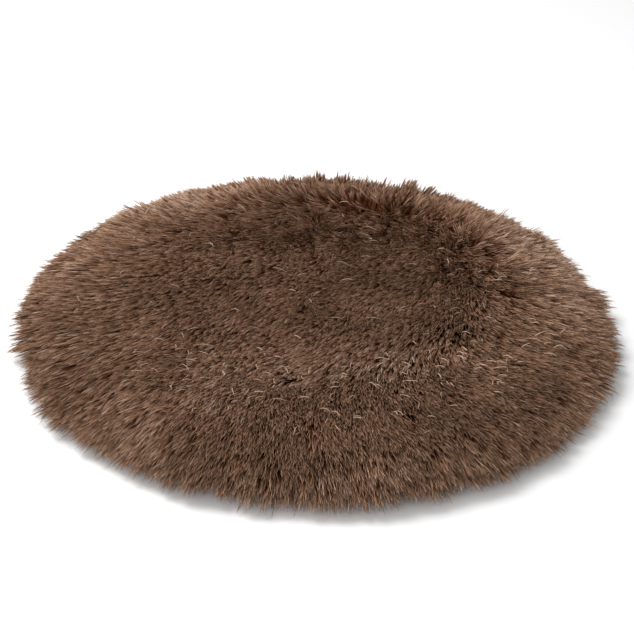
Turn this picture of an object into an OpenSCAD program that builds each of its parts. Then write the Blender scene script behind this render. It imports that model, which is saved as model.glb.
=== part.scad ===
// Round pet cushion bed: a long-pile faux-fur cover with a zipped non-slip base, round a fibre-filled inner pad.
// Units are millimetres. +Z is up, the floor is z = 0, and the origin is under the middle of the cushion.
// The zip runs along X on the underside, behind the middle. Its coils face the floor.

/* [Cushion body] */
// Diameter of the stuffed body at its edge seam, without the pile
body_d = 510; // [440:2:560]
// Height of the stuffed body over the floor at the middle, without the pile
body_h = 66; // [58:1:80]
// Height of the edge seam over the floor
seam_z = 16; // [14:0.5:22]
// Width of the ring where the base curves up from the floor to the edge seam
edge_roll = 32; // [24:1:40]

/* [Fur pile] */
// Reach of the pile past the body's edge
pile_reach = 43; // [30:1:50]
// Depth of the lying pile over the middle of the body
pile_depth = 34; // [25:1:45]

/* [Fabrics] */
// Thickness of the knitted backing under the pile
backing_t = 1.2; // [0.8:0.1:1.6]
// Thickness of the base cloth
base_t = 1.0; // [0.8:0.1:1.2]
// Thickness of the inner pad's cloth
liner_t = 0.6; // [0.4:0.1:0.8]

/* [Grip dots] */
// Diameter of a grip dot
dot_d = 8; // [4:0.5:10]
// Thickness of a grip dot
dot_t = 0.8; // [0.6:0.1:1]
// Distance between neighbouring dots
dot_pitch = 42; // [36:1:60]

/* [Zip] */
// Distance of the zip behind the middle of the base
zip_y = 60; // [50:5:80]
// Longest closed chain; a small base shortens it
zip_l = 350; // [260:10:360]
// Length of the pull tab from its bar to its end
pull_l = 24; // [18:1:26]

/* [Hidden] */
$fn = 128;

body_r = body_d / 2;
steps = 20;       // straight facets from the middle of a profile to its edge
ply_gap = 0.5;    // clearance between neighbouring layers of soft goods
cut = 0.01;       // overshoot of a cutting shape

// Crown shape of the stuffed body and of the pile over it
body_round = [2.6, 1.9];
pile_round = [2.4, 1.8];
pile_r = body_r + pile_reach;
pile_h = body_h + pile_depth;
pile_edge_z = seam_z + 4;     // where the pile reaches furthest out
fringe_z = 4;                 // lowest ends of the hanging fringe
fringe_in = 8;                // gap between the body's edge and the inside of the fringe

// Seam threads inside the edge
thread_r = 0.5;

// Care label
label_w = 28;
label_t = 0.4;
label_angle = 112;            // round the edge from +X
label_low_z = 3;

// The pit pressed into the base round the zip: sloping sides, then a level ledge under the tapes
flat_r = body_r - edge_roll;
pit_end = 19;                 // from the end of the chain to the end of the ledge
pit_out = 13;                 // from the zip's middle line to the ledge's outer edge
pit_slope = 7;                // width of a sloping side
chain_l = min(zip_l, 2 * (sqrt(pow(flat_r, 2) - pow(zip_y + pit_out + pit_slope, 2)) - pit_end - pit_slope));
pit_l = chain_l + 2 * pit_end;
slot_l = chain_l + 12;        // opening between the two folded edges of the base cloth
slot_w = 9.8;
fold_w = 6;                   // cloth turned in along the slot
tape_z = 8.5;
tape_t = 0.6;
tape_in = 0.7;                // from the middle line to a tape's inner edge
tape_out = 16.5;
tape_l = slot_l + 16;
ledge_z = tape_z - 0.3 - 2 * base_t;
stitch_r = 0.2;
stitch_out = 8.5;             // from the middle line to a row of stitches
tack_l = 13;
tack_w = 2;
tack_t = 0.5;
coil_in = 0.5;
coil_out = 2.9;
coil_t = 2.2;
coil_z = tape_z - 0.15 - coil_t;

// Slider: an outer plate under the coils, an inner plate over the tape, and a wedge between them
slider_l = 12;
slider_w = 8.8;
plate_t = 1.0;
slide_gap = 0.4;              // running clearance to the coils and to the tape
outer_plate_z = coil_z - slide_gap - plate_t;
inner_plate_z = tape_z + tape_t + slide_gap;
wedge_w = 0.7;
wedge_l = 3.5;
rail_w = 0.9;
nose_in = 1.3;                // how much narrower the slider's tail is on each side
crown_w = 1.7;
crown_t = 0.7;
crown_in = 2.3;               // from the pull's bar to a leg of the crown
crown_leg = 0.9;
bar_r = 0.65;
bar_gap = 0.25;               // clearance of the bar in the crown
bar_z = outer_plate_z - bar_gap - bar_r;
crown_z = bar_z - bar_r - bar_gap - crown_t;

// Pull tab
window_w = 2.7;
window_l = 4.2;
pull_w = 5.6;
pull_neck_w = 4.9;
pull_hole_r = 1.4;

// Rest place of the slider, at the closed end
stop_gap = 1.2;
slider_x = chain_l / 2 - stop_gap - slider_l / 2;

// Inner pad
pad_gap = 2.5;                // body's outside to the pad's outside
pad_base_z = dot_t + base_t + ply_gap;
channel_out = 3;              // clearance round the pit
channel_z = inner_plate_z + plate_t + 0.7;
fill_gap = 1.3;               // the fill's clearance inside the pad's edge seam

// Points of a crowned profile from the axis out to the edge at radius r, where it has come down from top to low
function crown_points(r, top, low, power) = [
    for (i = [0:steps])
        let (a = 90 * i / steps, x = sin(a))
            [r * x, low + (top - low) * pow(max(0, 1 - pow(x, power[0])), 1 / power[1])]
];

// Points of the rolled-up edge of the base, from the flat part out to the seam
function roll_points(r, low, high) = [
    for (i = [0:steps / 2])
        let (a = 90 * i / (steps / 2))
            [r - edge_roll * (1 - sin(a)), low + (high - low) * (1 - cos(a))]
];

function reversed(points) = [for (i = [len(points) - 1:-1:0]) points[i]];

module turned(points) {
    rotate_extrude() polygon(points);
}

// A crowned sheet of thickness t, closed by a flat ring at its edge
module crowned_sheet(r, top, low, t, power) {
    turned(concat(crown_points(r, top, low, power), reversed(crown_points(r - t, top - t, low, power))));
}

// A dish-shaped solid, flat underneath and rolled up at its edge
module dish(r, low, high) {
    turned(concat([[0, high], [0, low]], roll_points(r, low, high)));
}

// A box over the zip, from below the floor up to height
module zip_box(length, width, height) {
    translate([-length / 2, zip_y - width / 2, -1]) cube([length, width, height + 1]);
}

// The hollow under the zip, grown by a cloth's thickness to give the outside of its walls
module pit(grow) {
    hull() {
        zip_box(pit_l + 2 * (pit_slope + grow), 2 * (pit_out + pit_slope + grow), dot_t);
        zip_box(pit_l + 2 * grow, 2 * (pit_out + grow), ledge_z + grow);
    }
}

// Everything on one side of the zip's middle line; side is -1 in front and 1 behind
module zip_half(side, gap) {
    translate([-pile_r, side > 0 ? zip_y + gap : zip_y - gap - 2 * pile_r, -1])
        cube([2 * pile_r, 2 * pile_r, pile_h]);
}

// A bar along X beside the zip, between two distances from its middle line
module zip_bar(side, near, far, low, high, length) {
    translate([-length / 2, side > 0 ? zip_y + near : zip_y - far, low])
        cube([length, far - near, high - low]);
}

module fur_pile() color("saddlebrown") {
    turned(concat(
        crown_points(pile_r, pile_h, pile_edge_z, pile_round),
        [[pile_r - 3, pile_edge_z - 9], [pile_r - 12, fringe_z], [body_r + fringe_in + 3, fringe_z],
         [body_r + fringe_in, fringe_z + 3], [body_r + fringe_in, seam_z - 4], [body_r + 2, seam_z]],
        reversed(crown_points(body_r + ply_gap, body_h + ply_gap, seam_z, body_round))
    ));
}

module fur_backing() color("peru") {
    crowned_sheet(body_r, body_h, seam_z, backing_t, body_round);
}

module base_panel(side) color("dimgray") {
    intersection() {
        difference() {
            union() {
                difference() {
                    dish(body_r, dot_t, seam_z - ply_gap);
                    translate([0, 0, cut]) dish(body_r - base_t, dot_t + base_t, seam_z - ply_gap);
                }
                intersection() {
                    pit(base_t);
                    translate([-body_r, -body_r, dot_t]) cube([body_d, body_d, body_h]);
                }
                // Cloth turned in along the slot
                zip_box(slot_l + 2 * fold_w, slot_w + 2 * fold_w, ledge_z + 2 * base_t);
            }
            pit(0);
            zip_box(slot_l, slot_w, body_h);
        }
        zip_half(side, ply_gap / 2);
    }
}

module base_panel_front() base_panel(-1);

module base_panel_rear() base_panel(1);

module seam_ring(r, z) {
    rotate_extrude() translate([r, z]) circle(thread_r, $fn = 24);
}

module edge_seam_thread() color("black") seam_ring(body_r - backing_t - thread_r - 0.3, seam_z - ply_gap / 2);

module care_label() color("white") {
    half = label_w / 2 / body_r * 180 / PI;
    gap = 0.4;
    intersection() {
        difference() {
            dish(body_r + gap + label_t, dot_t - gap - label_t, seam_z - ply_gap);
            translate([0, 0, cut]) dish(body_r + gap, dot_t - gap, seam_z - ply_gap);
        }
        rotate([0, 0, label_angle - half])
            rotate_extrude(angle = 2 * half)
                translate([body_r - edge_roll / 2, label_low_z]) square([edge_roll, seam_z]);
    }
}

// Rows of dots, every other row shifted by half a pitch, clear of the pit and of the rolled edge
module grip_dots() color("black") {
    row_gap = dot_pitch * sin(60);
    rows = floor(body_r / row_gap);
    reach = flat_r - dot_d;
    clear = pit_out + pit_slope + dot_d;
    for (row = [-rows:rows])
        for (col = [-rows - 1:rows + 1]) {
            x = (col + (row % 2 == 0 ? 0 : 0.5)) * dot_pitch;
            y = row * row_gap;
            if (norm([x, y]) < reach && abs(y - zip_y) > clear)
                translate([x, y, 0]) cylinder(h = dot_t, d = dot_d, $fn = 32);
        }
}

module zip_stitching() color("black") {
    for (side = [-1, 1])
        translate([-slot_l / 2, zip_y + side * stitch_out, ledge_z - stitch_r - 0.02])
            rotate([0, 90, 0]) cylinder(h = slot_l, r = stitch_r, $fn = 16);
}

module bar_tacks() color("black") {
    for (side = [-1, 1])
        translate([side * (slot_l / 2 + 3) - tack_w / 2, zip_y - tack_l / 2, ledge_z - tack_t])
            cube([tack_w, tack_l, tack_t]);
}

module zip_tape(side) color("saddlebrown") {
    zip_bar(side, tape_in, tape_out, tape_z, tape_z + tape_t, tape_l);
}

module zip_tape_front() zip_tape(-1);

module zip_tape_rear() zip_tape(1);

// The outer shape of one nylon coil, with rounded long edges
module zip_coil(side) color("sienna") {
    middle = (coil_in + coil_out) / 2;
    r = 0.6;
    translate([-chain_l / 2, zip_y + side * middle, coil_z + coil_t / 2])
        rotate([90, 0, 90])
            linear_extrude(chain_l) {
                square([coil_out - coil_in, coil_t - 2 * r], center = true);
                square([coil_out - coil_in - 2 * r, coil_t], center = true);
                for (y = [-1, 1], z = [-1, 1])
                    translate([y * ((coil_out - coil_in) / 2 - r), z * (coil_t / 2 - r)]) circle(r, $fn = 24);
            }
}

module zip_coil_front() zip_coil(-1);

module zip_coil_rear() zip_coil(1);

module zip_top_stops() color("silver") {
    for (side = [-1, 1])
        translate([chain_l / 2 + 0.2, side > 0 ? zip_y + coil_in : zip_y - coil_out, coil_z])
            cube([3, coil_out - coil_in, coil_t]);
}

module zip_bottom_stop() color("silver") {
    translate([-chain_l / 2 - 4.2, zip_y - coil_out, coil_z]) cube([4, 2 * coil_out, coil_t]);
}

// Outline of a slider plate: wide at the nose, where the rows meet the wedge, and narrower at the tail
module slider_outline() {
    r = 1;
    hull() {
        for (side = [-1, 1]) {
            translate([slider_l / 2 - r, side * (slider_w / 2 - r)]) circle(r);
            translate([0, side * (slider_w / 2 - r)]) circle(r);
            translate([-slider_l / 2 + r, side * (slider_w / 2 - r - nose_in)]) circle(r);
        }
    }
}

module zip_slider() color("silver") {
    translate([slider_x, zip_y, 0]) {
        for (z = [outer_plate_z, inner_plate_z])
            translate([0, 0, z]) linear_extrude(plate_t) slider_outline();
        // Wedge between the coils, which joins the plates
        translate([slider_l / 2 - wedge_l - 1, -wedge_w / 2, outer_plate_z + plate_t - cut])
            cube([wedge_l, wedge_w, inner_plate_z - outer_plate_z - plate_t + 2 * cut]);
        // Rails that guide the coils, up to the tape
        for (side = [-1, 1])
            translate([-slider_l / 2 + 5, side > 0 ? slider_w / 2 - rail_w : -slider_w / 2,
                       outer_plate_z + plate_t - cut])
                cube([slider_l - 6.2, rail_w, tape_z - slide_gap - outer_plate_z - plate_t]);
        // Crown that holds the pull's bar
        for (side = [-1, 1])
            translate([side > 0 ? crown_in : -crown_in - crown_leg, -crown_w / 2, crown_z])
                cube([crown_leg, crown_w, outer_plate_z - crown_z + cut]);
        translate([-crown_in - crown_leg, -crown_w / 2, crown_z])
            cube([2 * (crown_in + crown_leg), crown_w, crown_t]);
    }
}

// The tab lies back along the chain from its round bar, with a window for the crown
module zip_pull() color("silver") {
    translate([slider_x, zip_y, bar_z]) {
        rotate([90, 0, 0]) cylinder(h = pull_neck_w, r = bar_r, center = true, $fn = 32);
        translate([0, 0, -bar_r]) linear_extrude(2 * bar_r) difference() {
            union() {
                translate([-window_l - 2, -pull_neck_w / 2]) square([window_l + 2, pull_neck_w]);
                hull() {
                    translate([-window_l - 2, -pull_neck_w / 2]) square([1, pull_neck_w]);
                    translate([-pull_l + pull_w / 2, 0]) circle(d = pull_w);
                }
            }
            translate([-window_l, -window_w / 2]) square([window_l + 1, window_w]);
            translate([-pull_l + pull_w / 2, 0]) circle(pull_hole_r);
        }
    }
}

module liner_top() color("whitesmoke") {
    crowned_sheet(body_r - pad_gap, body_h - pad_gap, seam_z, liner_t, body_round);
}

// The channel in the pad over the pit and the zip
module channel(grow) {
    zip_box(pit_l + 2 * (pit_slope + channel_out + grow), 2 * (pit_out + pit_slope + channel_out + grow),
            channel_z + grow);
}

// The lower half of the pad as a solid, drawn in by inset
module pad_lower(inset) {
    difference() {
        dish(body_r - pad_gap - inset, pad_base_z + inset, seam_z - ply_gap);
        channel(inset);
    }
}

module liner_bottom() color("whitesmoke") {
    difference() {
        pad_lower(0);
        translate([0, 0, cut]) pad_lower(liner_t);
    }
}

module liner_seam_thread() color("gainsboro") {
    seam_ring(body_r - pad_gap - liner_t - thread_r - 0.2, seam_z - ply_gap / 2);
}

module fibre_fill() color("white") {
    fill_r = body_r - pad_gap - liner_t - 2 * thread_r - fill_gap;
    inset = liner_t + ply_gap;
    difference() {
        turned(concat(
            crown_points(fill_r, body_h - pad_gap - inset, seam_z, body_round),
            reversed(roll_points(fill_r, pad_base_z + inset, seam_z)),
            [[0, pad_base_z + inset]]
        ));
        channel(inset);
    }
}

fur_pile();
fur_backing();
base_panel_front();
base_panel_rear();
edge_seam_thread();
care_label();
grip_dots();
zip_stitching();
bar_tacks();
zip_tape_front();
zip_tape_rear();
zip_coil_front();
zip_coil_rear();
zip_top_stops();
zip_bottom_stop();
zip_slider();
zip_pull();
liner_top();
liner_bottom();
liner_seam_thread();
fibre_fill();
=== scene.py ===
"""Round pet cushion bed: a long-pile faux-fur cover with a zipped non-slip base over a fibre-filled pad.

Metres, +Z up, floor at z = 0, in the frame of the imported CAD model. The pile is real geometry: each lock of
fur is a bundle of tapered, closed strands that draw together towards the lock's tip.
"""

import math

import bmesh
import bpy
import numpy as np
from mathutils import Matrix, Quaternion, Vector


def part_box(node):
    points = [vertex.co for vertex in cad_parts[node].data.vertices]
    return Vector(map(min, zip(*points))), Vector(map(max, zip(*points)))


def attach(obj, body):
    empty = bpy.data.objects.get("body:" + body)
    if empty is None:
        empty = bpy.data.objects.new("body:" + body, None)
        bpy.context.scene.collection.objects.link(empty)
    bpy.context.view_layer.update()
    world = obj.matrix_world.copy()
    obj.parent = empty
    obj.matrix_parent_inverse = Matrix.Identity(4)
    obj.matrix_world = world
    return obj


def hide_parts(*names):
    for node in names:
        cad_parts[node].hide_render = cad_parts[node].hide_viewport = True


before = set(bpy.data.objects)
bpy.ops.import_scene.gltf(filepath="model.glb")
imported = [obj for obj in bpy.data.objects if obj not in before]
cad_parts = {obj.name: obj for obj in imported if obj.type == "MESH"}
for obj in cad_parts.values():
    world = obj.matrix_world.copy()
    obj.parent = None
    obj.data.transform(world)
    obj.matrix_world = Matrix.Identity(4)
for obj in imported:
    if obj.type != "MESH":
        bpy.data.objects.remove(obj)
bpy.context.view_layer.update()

# ---------------------------------------------------------------- sizes, from the frame
BACKING_LOW, BACKING_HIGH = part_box("fur_backing")
BODY_R = (BACKING_HIGH[0] - BACKING_LOW[0]) / 2
BODY_TOP = BACKING_HIGH[2]
SEAM_Z = BACKING_LOW[2]
CROWN_POWER = (2.6, 1.9)      # the crown's profile, as in the CAD model

FRONT_LOW, FRONT_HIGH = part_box("base_panel_front")
REAR_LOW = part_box("base_panel_rear")[0]
ZIP_Y = (FRONT_HIGH[1] + REAR_LOW[1]) / 2
PANEL_GAP = (REAR_LOW[1] - FRONT_HIGH[1]) / 2
BASE_LOW = FRONT_LOW[2]
STITCH_LOW, STITCH_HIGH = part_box("zip_stitching")
SLOT_HALF_L = (STITCH_HIGH[0] - STITCH_LOW[0]) / 2
LEDGE_Z = STITCH_HIGH[2] + 0.00002
COIL_LOW, COIL_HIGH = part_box("zip_coil_front")

# Sizes that no node's box gives, as in the CAD model
EDGE_ROLL = 0.032
BACKING_T = 0.0012
BASE_T = 0.0010
PIT_HALF_L = (COIL_HIGH[0] - COIL_LOW[0]) / 2 + 0.019
PIT_OUT = 0.013
PIT_SLOPE = 0.007
SLOT_W = 0.0098
FOLD_W = 0.006
DOT_D = 0.008
DOT_PITCH = 0.042
DOT_REACH = BODY_R - EDGE_ROLL - DOT_D
DOT_CLEAR = PIT_OUT + PIT_SLOPE + DOT_D
LABEL_W = 0.028
LABEL_T = 0.00035
LABEL_CURL = 0.0022           # of its free end, away from the base
LABEL_TURN = (math.radians(89.5), math.radians(38))   # round the base's edge, from the seam to the free end
PAD_LOW = 0.0032              # underside of the inner pad
PAD_R = BODY_R - 0.003
CHANNEL_TOP = 0.0118          # ceiling of the pad's channel over the zip

# Stage
FLOOR_SIZE = 60
FLOOR_GREY = (0.86, 0.86, 0.86)
WORLD_LIGHT = 0.55
KEY_PLACE, KEY_SIZE, KEY_POWER = (-0.9, 0.5, 2.0), 1.2, 42
FILL_PLACE, FILL_SIZE, FILL_POWER = (-0.7, -1.6, 1.2), 1.6, 14
LIT_POINT = (0, 0, 0.05)
CAMERA_LENS = 100
CAMERA_ELEVATION = math.radians(31.3)
CAMERA_ROLL = math.radians(1.6)
CAMERA_DISTANCE = 1.73
CAMERA_TARGET = Vector((0.0, -0.010, 0.030))

# Sizes of detail that is only in the looks
BODY_UNEVEN = 0.0022          # of the stuffed body's top, up and down
DENT_DEPTH = 0.006            # where the body sinks, behind its middle
BACKING_COLS = 192
THREAD_TWIST = 0.003
STITCH_PITCH = 0.003
COIL_PITCH = 0.0014
COIL_STEPS = 12
COIL_WIRE_R = 0.00033
COIL_CORE_R = 0.0005

# ---------------------------------------------------------------- pile
SEED = 74
FLOOR_GAP = 0.0006            # from the floor to the middle of the lowest strands
LOCKS = 39500
STRANDS_PER_LOCK = 5
STATIONS = np.array([0.0, 0.38, 0.70, 0.92, 1.0])   # of a strand's rings and of its tip, along its length
SIDES = 3
STRAND_R = 0.00044            # at the root
LOCK_R = 0.0014               # of a lock at its root
PILE_LENGTH = 0.043
PIECES = 24                   # sectors that the pile is split into
STRAYS = 230
STRAY_R = 0.00030
# Strays are pale hairs, coloured mostly with the painted sheen
STRAY_TONE = (0.85, 0.98)
STRAY_ALONG = (0.92, 1.0)     # strays have the colour of the tips from end to end
TONE_WIDTH = 1 / 24           # how much the tone differs from side to side of a strand
NAP = np.array([-0.42, -0.90])

# Colours along a strand, and the painted sheen: a pale grey painted highlight on the outer part of paler
# strands
# The ramp from root to tip is partly the fur's own colour and partly painted shade: the dark roots stand for
# the shade deep between the locks
FUR_ROOT = (0.066, 0.0235, 0.0115)
FUR_MIDDLE = (0.133, 0.0455, 0.0195)
FUR_MIDDLE_AT = 0.66
FUR_TIP = (0.52, 0.318, 0.206)
FUR_PAINTED_SHEEN = (0.47, 0.40, 0.335)
FUR_SHADES = (0.42, 1.59)     # factor on the colour at tone 0 and at tone 1
# Patches of painted light and shade, where the pile is paler or darker than the rest: middle, reach along x
# and y, and change of tone
PAINTED_LIGHT_PATCHES = [
    ((-0.18, 0.18), (0.09, 0.07), 0.28),
    ((-0.13, 0.15), (0.05, 0.035), 0.12),
    ((0.15, 0.16), (0.05, 0.03), 0.08),
    ((0.13, -0.115), (0.035, 0.025), 0.16),
    ((0.23, 0.10), (0.07, 0.07), 0.30),
    ((0.15, 0.10), (0.05, 0.04), 0.18),
    ((0.05, -0.15), (0.08, 0.03), 0.13),
    ((-0.10, -0.187), (0.075, 0.028), 0.28),
    ((0.25, -0.16), (0.03, 0.03), 0.18),
    ((0.21, -0.10), (0.04, 0.03), -0.08),
    ((-0.25, 0.03), (0.04, 0.06), 0.12),
    ((0.09, 0.24), (0.14, 0.06), -0.15),
    ((-0.01, 0.20), (0.04, 0.05), -0.20),
    ((0.04, 0.10), (0.17, 0.07), -0.16),
    ((0.05, 0.00), (0.11, 0.03), -0.16),
    ((0.09, 0.01), (0.04, 0.03), -0.10),
    ((0.05, -0.06), (0.14, 0.04), -0.09),
    ((0.04, 0.19), (0.08, 0.03), -0.14),
    ((-0.24, -0.05), (0.08, 0.09), -0.20),
    ((-0.09, -0.04), (0.07, 0.06), -0.15),
    ((-0.18, -0.15), (0.05, 0.05), -0.11),
    ((0.17, -0.08), (0.07, 0.05), -0.20),
    ((-0.14, -0.235), (0.10, 0.03), -0.32),
    ((-0.18, -0.20), (0.035, 0.03), -0.16),
    ((0.27, -0.12), (0.03, 0.04), 0.16),
    ((0.14, -0.19), (0.10, 0.05), -0.26),
    ((0.02, -0.26), (0.08, 0.02), -0.10),
]


def new_object(name, data):
    obj = bpy.data.objects.new(name, data)
    bpy.context.collection.objects.link(obj)
    return obj


def set_all(target, settings):
    for name, setting in settings.items():
        setattr(target, name, setting)


def node_corners(node):
    """Lowest and highest corner of a CAD node."""
    return [np.array(corner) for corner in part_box(node)]


def smoothstep(low, high, x):
    t = np.clip((x - low) / (high - low), 0.0, 1.0)
    return t * t * (3 - 2 * t)


def waves(x, y, size, seed, count=7):
    """A smooth random field between about -1 and 1, whose features are about size across."""
    rng = np.random.default_rng(seed)
    total = np.zeros_like(x)
    for _ in range(count):
        angle, phase = rng.uniform(0, 2 * math.pi, 2)
        k = 2 * math.pi / size * rng.uniform(0.6, 1.5)
        total += np.sin(k * (x * math.cos(angle) + y * math.sin(angle)) + phase)
    return total / math.sqrt(count)


def crown_height(q):
    """Height of the stuffed body at q, the distance from the middle over the body's radius."""
    q = np.clip(q, 0.0, 1.0)
    fall = np.power(1 - np.power(q, CROWN_POWER[0]), 1 / CROWN_POWER[1])
    return SEAM_Z + (BODY_TOP - SEAM_Z) * fall


def body_height(x, y):
    q = np.hypot(x, y) / BODY_R
    soft = BODY_UNEVEN * waves(x, y, 0.22, 5) * smoothstep(1.0, 0.8, q)
    dents = blob(x, y, (0.04, 0.10), (0.17, 0.05)) + blob(x, y, (0.03, 0.20), (0.16, 0.06))
    return crown_height(q) + soft - DENT_DEPTH * dents * smoothstep(1.0, 0.8, q)


def body_normals(x, y):
    step = 0.002
    dx = (body_height(x + step, y) - body_height(x - step, y)) / (2 * step)
    dy = (body_height(x, y + step) - body_height(x, y - step)) / (2 * step)
    normals = np.stack([-dx, -dy, np.ones_like(x)], axis=1)
    return unit(normals)


def unit(vectors):
    return vectors / np.maximum(np.linalg.norm(vectors, axis=-1, keepdims=True), 1e-9)


# ---------------------------------------------------------------- pile directions

def lock_roots(rng):
    """Roots spread evenly over the body's surface, out to the edge seam."""
    q = np.linspace(0, 1, 400)
    r, z = q * BODY_R, crown_height(q)
    arc = np.concatenate([[0], np.cumsum(np.hypot(np.diff(r), np.diff(z)))])
    weight = np.concatenate([[0], np.cumsum(np.diff(arc) * (r[1:] + r[:-1]) / 2)])
    weight /= weight[-1]
    share = (np.arange(LOCKS) + 0.5) / LOCKS
    radius = np.interp(share, weight, r)
    angle = np.arange(LOCKS) * math.pi * (3 - math.sqrt(5))
    x = radius * np.cos(angle) + rng.normal(0, 0.0014, LOCKS)
    y = radius * np.sin(angle) + rng.normal(0, 0.0014, LOCKS)
    over = np.maximum(np.hypot(x, y) / (0.999 * BODY_R), 1.0)
    return x / over, y / over


def blob(x, y, centre, reach):
    """1 in the middle of an oval patch, falling smoothly to 0 outside it."""
    return np.exp(-((x - centre[0]) / reach[0]) ** 2 - ((y - centre[1]) / reach[1]) ** 2)


def front_slope(x, y):
    """1 on the band of the crown that faces the front, between its top and the fringe."""
    q = np.hypot(x, y) / BODY_R
    ragged = q + 0.03 * waves(x, y, 0.06, 20)
    band = smoothstep(0.58, 0.76, ragged) * smoothstep(0.99, 0.90, ragged)
    return band * smoothstep(-0.05, -0.15, y) * smoothstep(-0.20, -0.08, x)


def unruly(x, y, front=0.75):
    """Where the pile is ruffled, from 0 to 1: behind the middle, right of it, and along the front slope."""
    patches = blob(x, y, (0.02, 0.10), (0.16, 0.05)) + blob(x, y, (0.155, 0.05), (0.035, 0.09))
    patches = patches * (0.75 + 0.35 * waves(x, y, 0.09, 17)) + front * front_slope(x, y)
    return np.clip(patches, 0, 1)


def side_rim(x, y):
    """1 on the left and right ends of the rim, where the fringe is the most ragged."""
    r = np.maximum(np.hypot(x, y), 1e-6)
    return smoothstep(0.78, 0.95, r / BODY_R) * smoothstep(0.6, 0.9, np.abs(x) / r)


def pile_lean(x, y):
    """Where the pile leans: level part and rise of the direction in which the tips point."""
    q = np.hypot(x, y) / BODY_R
    out = np.stack([x, y], axis=1) / np.maximum(np.hypot(x, y), 1e-6)[:, None]
    # Behind the middle, tufts lie both ways, so that no bare parting opens between nap and rim
    crossed = 0.14 * waves(x, y, 0.012, 22) * blob(x, y, (0.04, 0.18), (0.14, 0.07))
    flare = smoothstep(0.45, 0.92, q + crossed)[:, None]
    level = NAP * (1 - flare) * 0.9 + out * flare * 1.1
    # Where the two directions work against each other, the pile still lies down rather than stands
    level = level * (0.55 + 0.45 / np.maximum(np.linalg.norm(level, axis=1, keepdims=True), 0.35))
    swirl = np.stack([waves(x, y, 0.16, 11), waves(x, y, 0.16, 12)], axis=1)
    ruffle = np.stack([waves(x, y, 0.028, 15), waves(x, y, 0.028, 16)], axis=1)
    level = level + 0.08 * swirl + (0.05 + 0.40 * unruly(x, y, 0.22))[:, None] * ruffle
    tangent = np.stack([-out[:, 1], out[:, 0]], axis=1)
    tufted = (0.11 + 0.17 * side_rim(x, y)) * smoothstep(0.8, 1.0, q)
    level = level + tangent * (tufted * waves(x, y, 0.014, 18))[:, None]
    droop = -0.30 + 0.10 * out[:, 1]
    edge = smoothstep(0.55, 1.0, q)
    tufts = np.clip(waves(x, y, 0.022, 19) - 0.35, 0, 1)
    bristle = blob(x, y, (0.06, 0.95 * BODY_R), (0.13, 0.05)) * (0.6 * tufts)
    rise = 0.16 * (1 - edge) + droop * edge + bristle + 0.06 * waves(x, y, 0.12, 13)
    return level, rise


def painted_light_and_shade(x, y):
    """Painted light and shade on the pile: paler and darker patches, and painted shade where the pile is
    ruffled.
    """
    patches = sum(tone * blob(x, y, middle, reach) for middle, reach, tone in PAINTED_LIGHT_PATCHES)
    # Painted shade where the pile is ruffled
    return patches - 0.17 * unruly(x, y)


def lock_guides(x, y, rng):
    """Centre lines of the locks, as (locks, stations, 3), and the body's normals at their roots."""
    count = len(x)
    root = np.stack([x, y, body_height(x, y)], axis=1)
    normal = body_normals(x, y)
    level, rise = pile_lean(x, y)
    mess = unruly(x, y, 0.45)
    level = level + rng.normal(0, 1, (count, 2)) * (0.07 + 0.20 * mess)[:, None]
    rise = rise + rng.normal(0, 1, count) * (0.06 + 0.10 * mess)
    tip = unit(np.concatenate([level, rise[:, None]], axis=1))
    raised = 0.18 * front_slope(x, y)[:, None]
    tip = unit(tip * (1 - raised) + normal * raised)
    start = unit(normal * 0.8 + tip * 0.75)
    q = np.hypot(x, y) / BODY_R
    short = 0.14 * front_slope(x, y) + 0.14 * blob(x, y, (0.02, 0.25), (0.16, 0.08))
    even = 1 - 0.2 * smoothstep(0.85, 1.0, q) + 0.6 * side_rim(x, y)
    length = PILE_LENGTH * (1 - short + even * (0.08 * waves(x, y, 0.05, 14) + rng.normal(0, 0.06, count)))
    points = [root]
    for a, b in zip(STATIONS[:-1], STATIONS[1:]):
        t = ((a + b) / 2) ** 0.6
        heading = unit(start * (1 - t) + tip * t)
        points.append(points[-1] + heading * (length * (b - a))[:, None])
    return np.stack(points, axis=1), normal


def strands(guides, normals, loose, rng):
    """Bundle of strands round each guide, which draws together towards its tip unless it is loose."""
    count = len(guides)
    n = STRANDS_PER_LOCK
    side = unit(np.cross(normals, rng.normal(size=(count, 3))))
    other = np.cross(normals, side)
    angle = rng.uniform(0, 2 * math.pi, (count, n))
    spread = LOCK_R * np.sqrt(rng.uniform(0.02, 1, (count, n)))
    offset = (side[:, None] * (np.cos(angle) * spread)[..., None]
              + other[:, None] * (np.sin(angle) * spread)[..., None])
    along = STATIONS
    gather = 1 - (0.80 - 0.55 * loose)[:, None] * along ** 1.4
    # Each strand ends a little short of its lock's tip
    reach = 1 - rng.uniform(0, 0.16, (count, n))
    base = guides[:, None, :1]
    path = base + (guides[:, None] - base) * reach[..., None, None]
    path = path + offset[:, :, None] * gather[:, None, :, None]
    stray = rng.normal(0, 1, (count, n, 3)) * (0.0005 + 0.0026 * loose)[:, None, None]
    path = path + stray[:, :, None] * (along ** 2)[None, None, :, None]
    path[..., 2] = np.maximum(path[..., 2], FLOOR_GAP)
    return path.reshape(count * n, len(STATIONS), 3)


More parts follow.
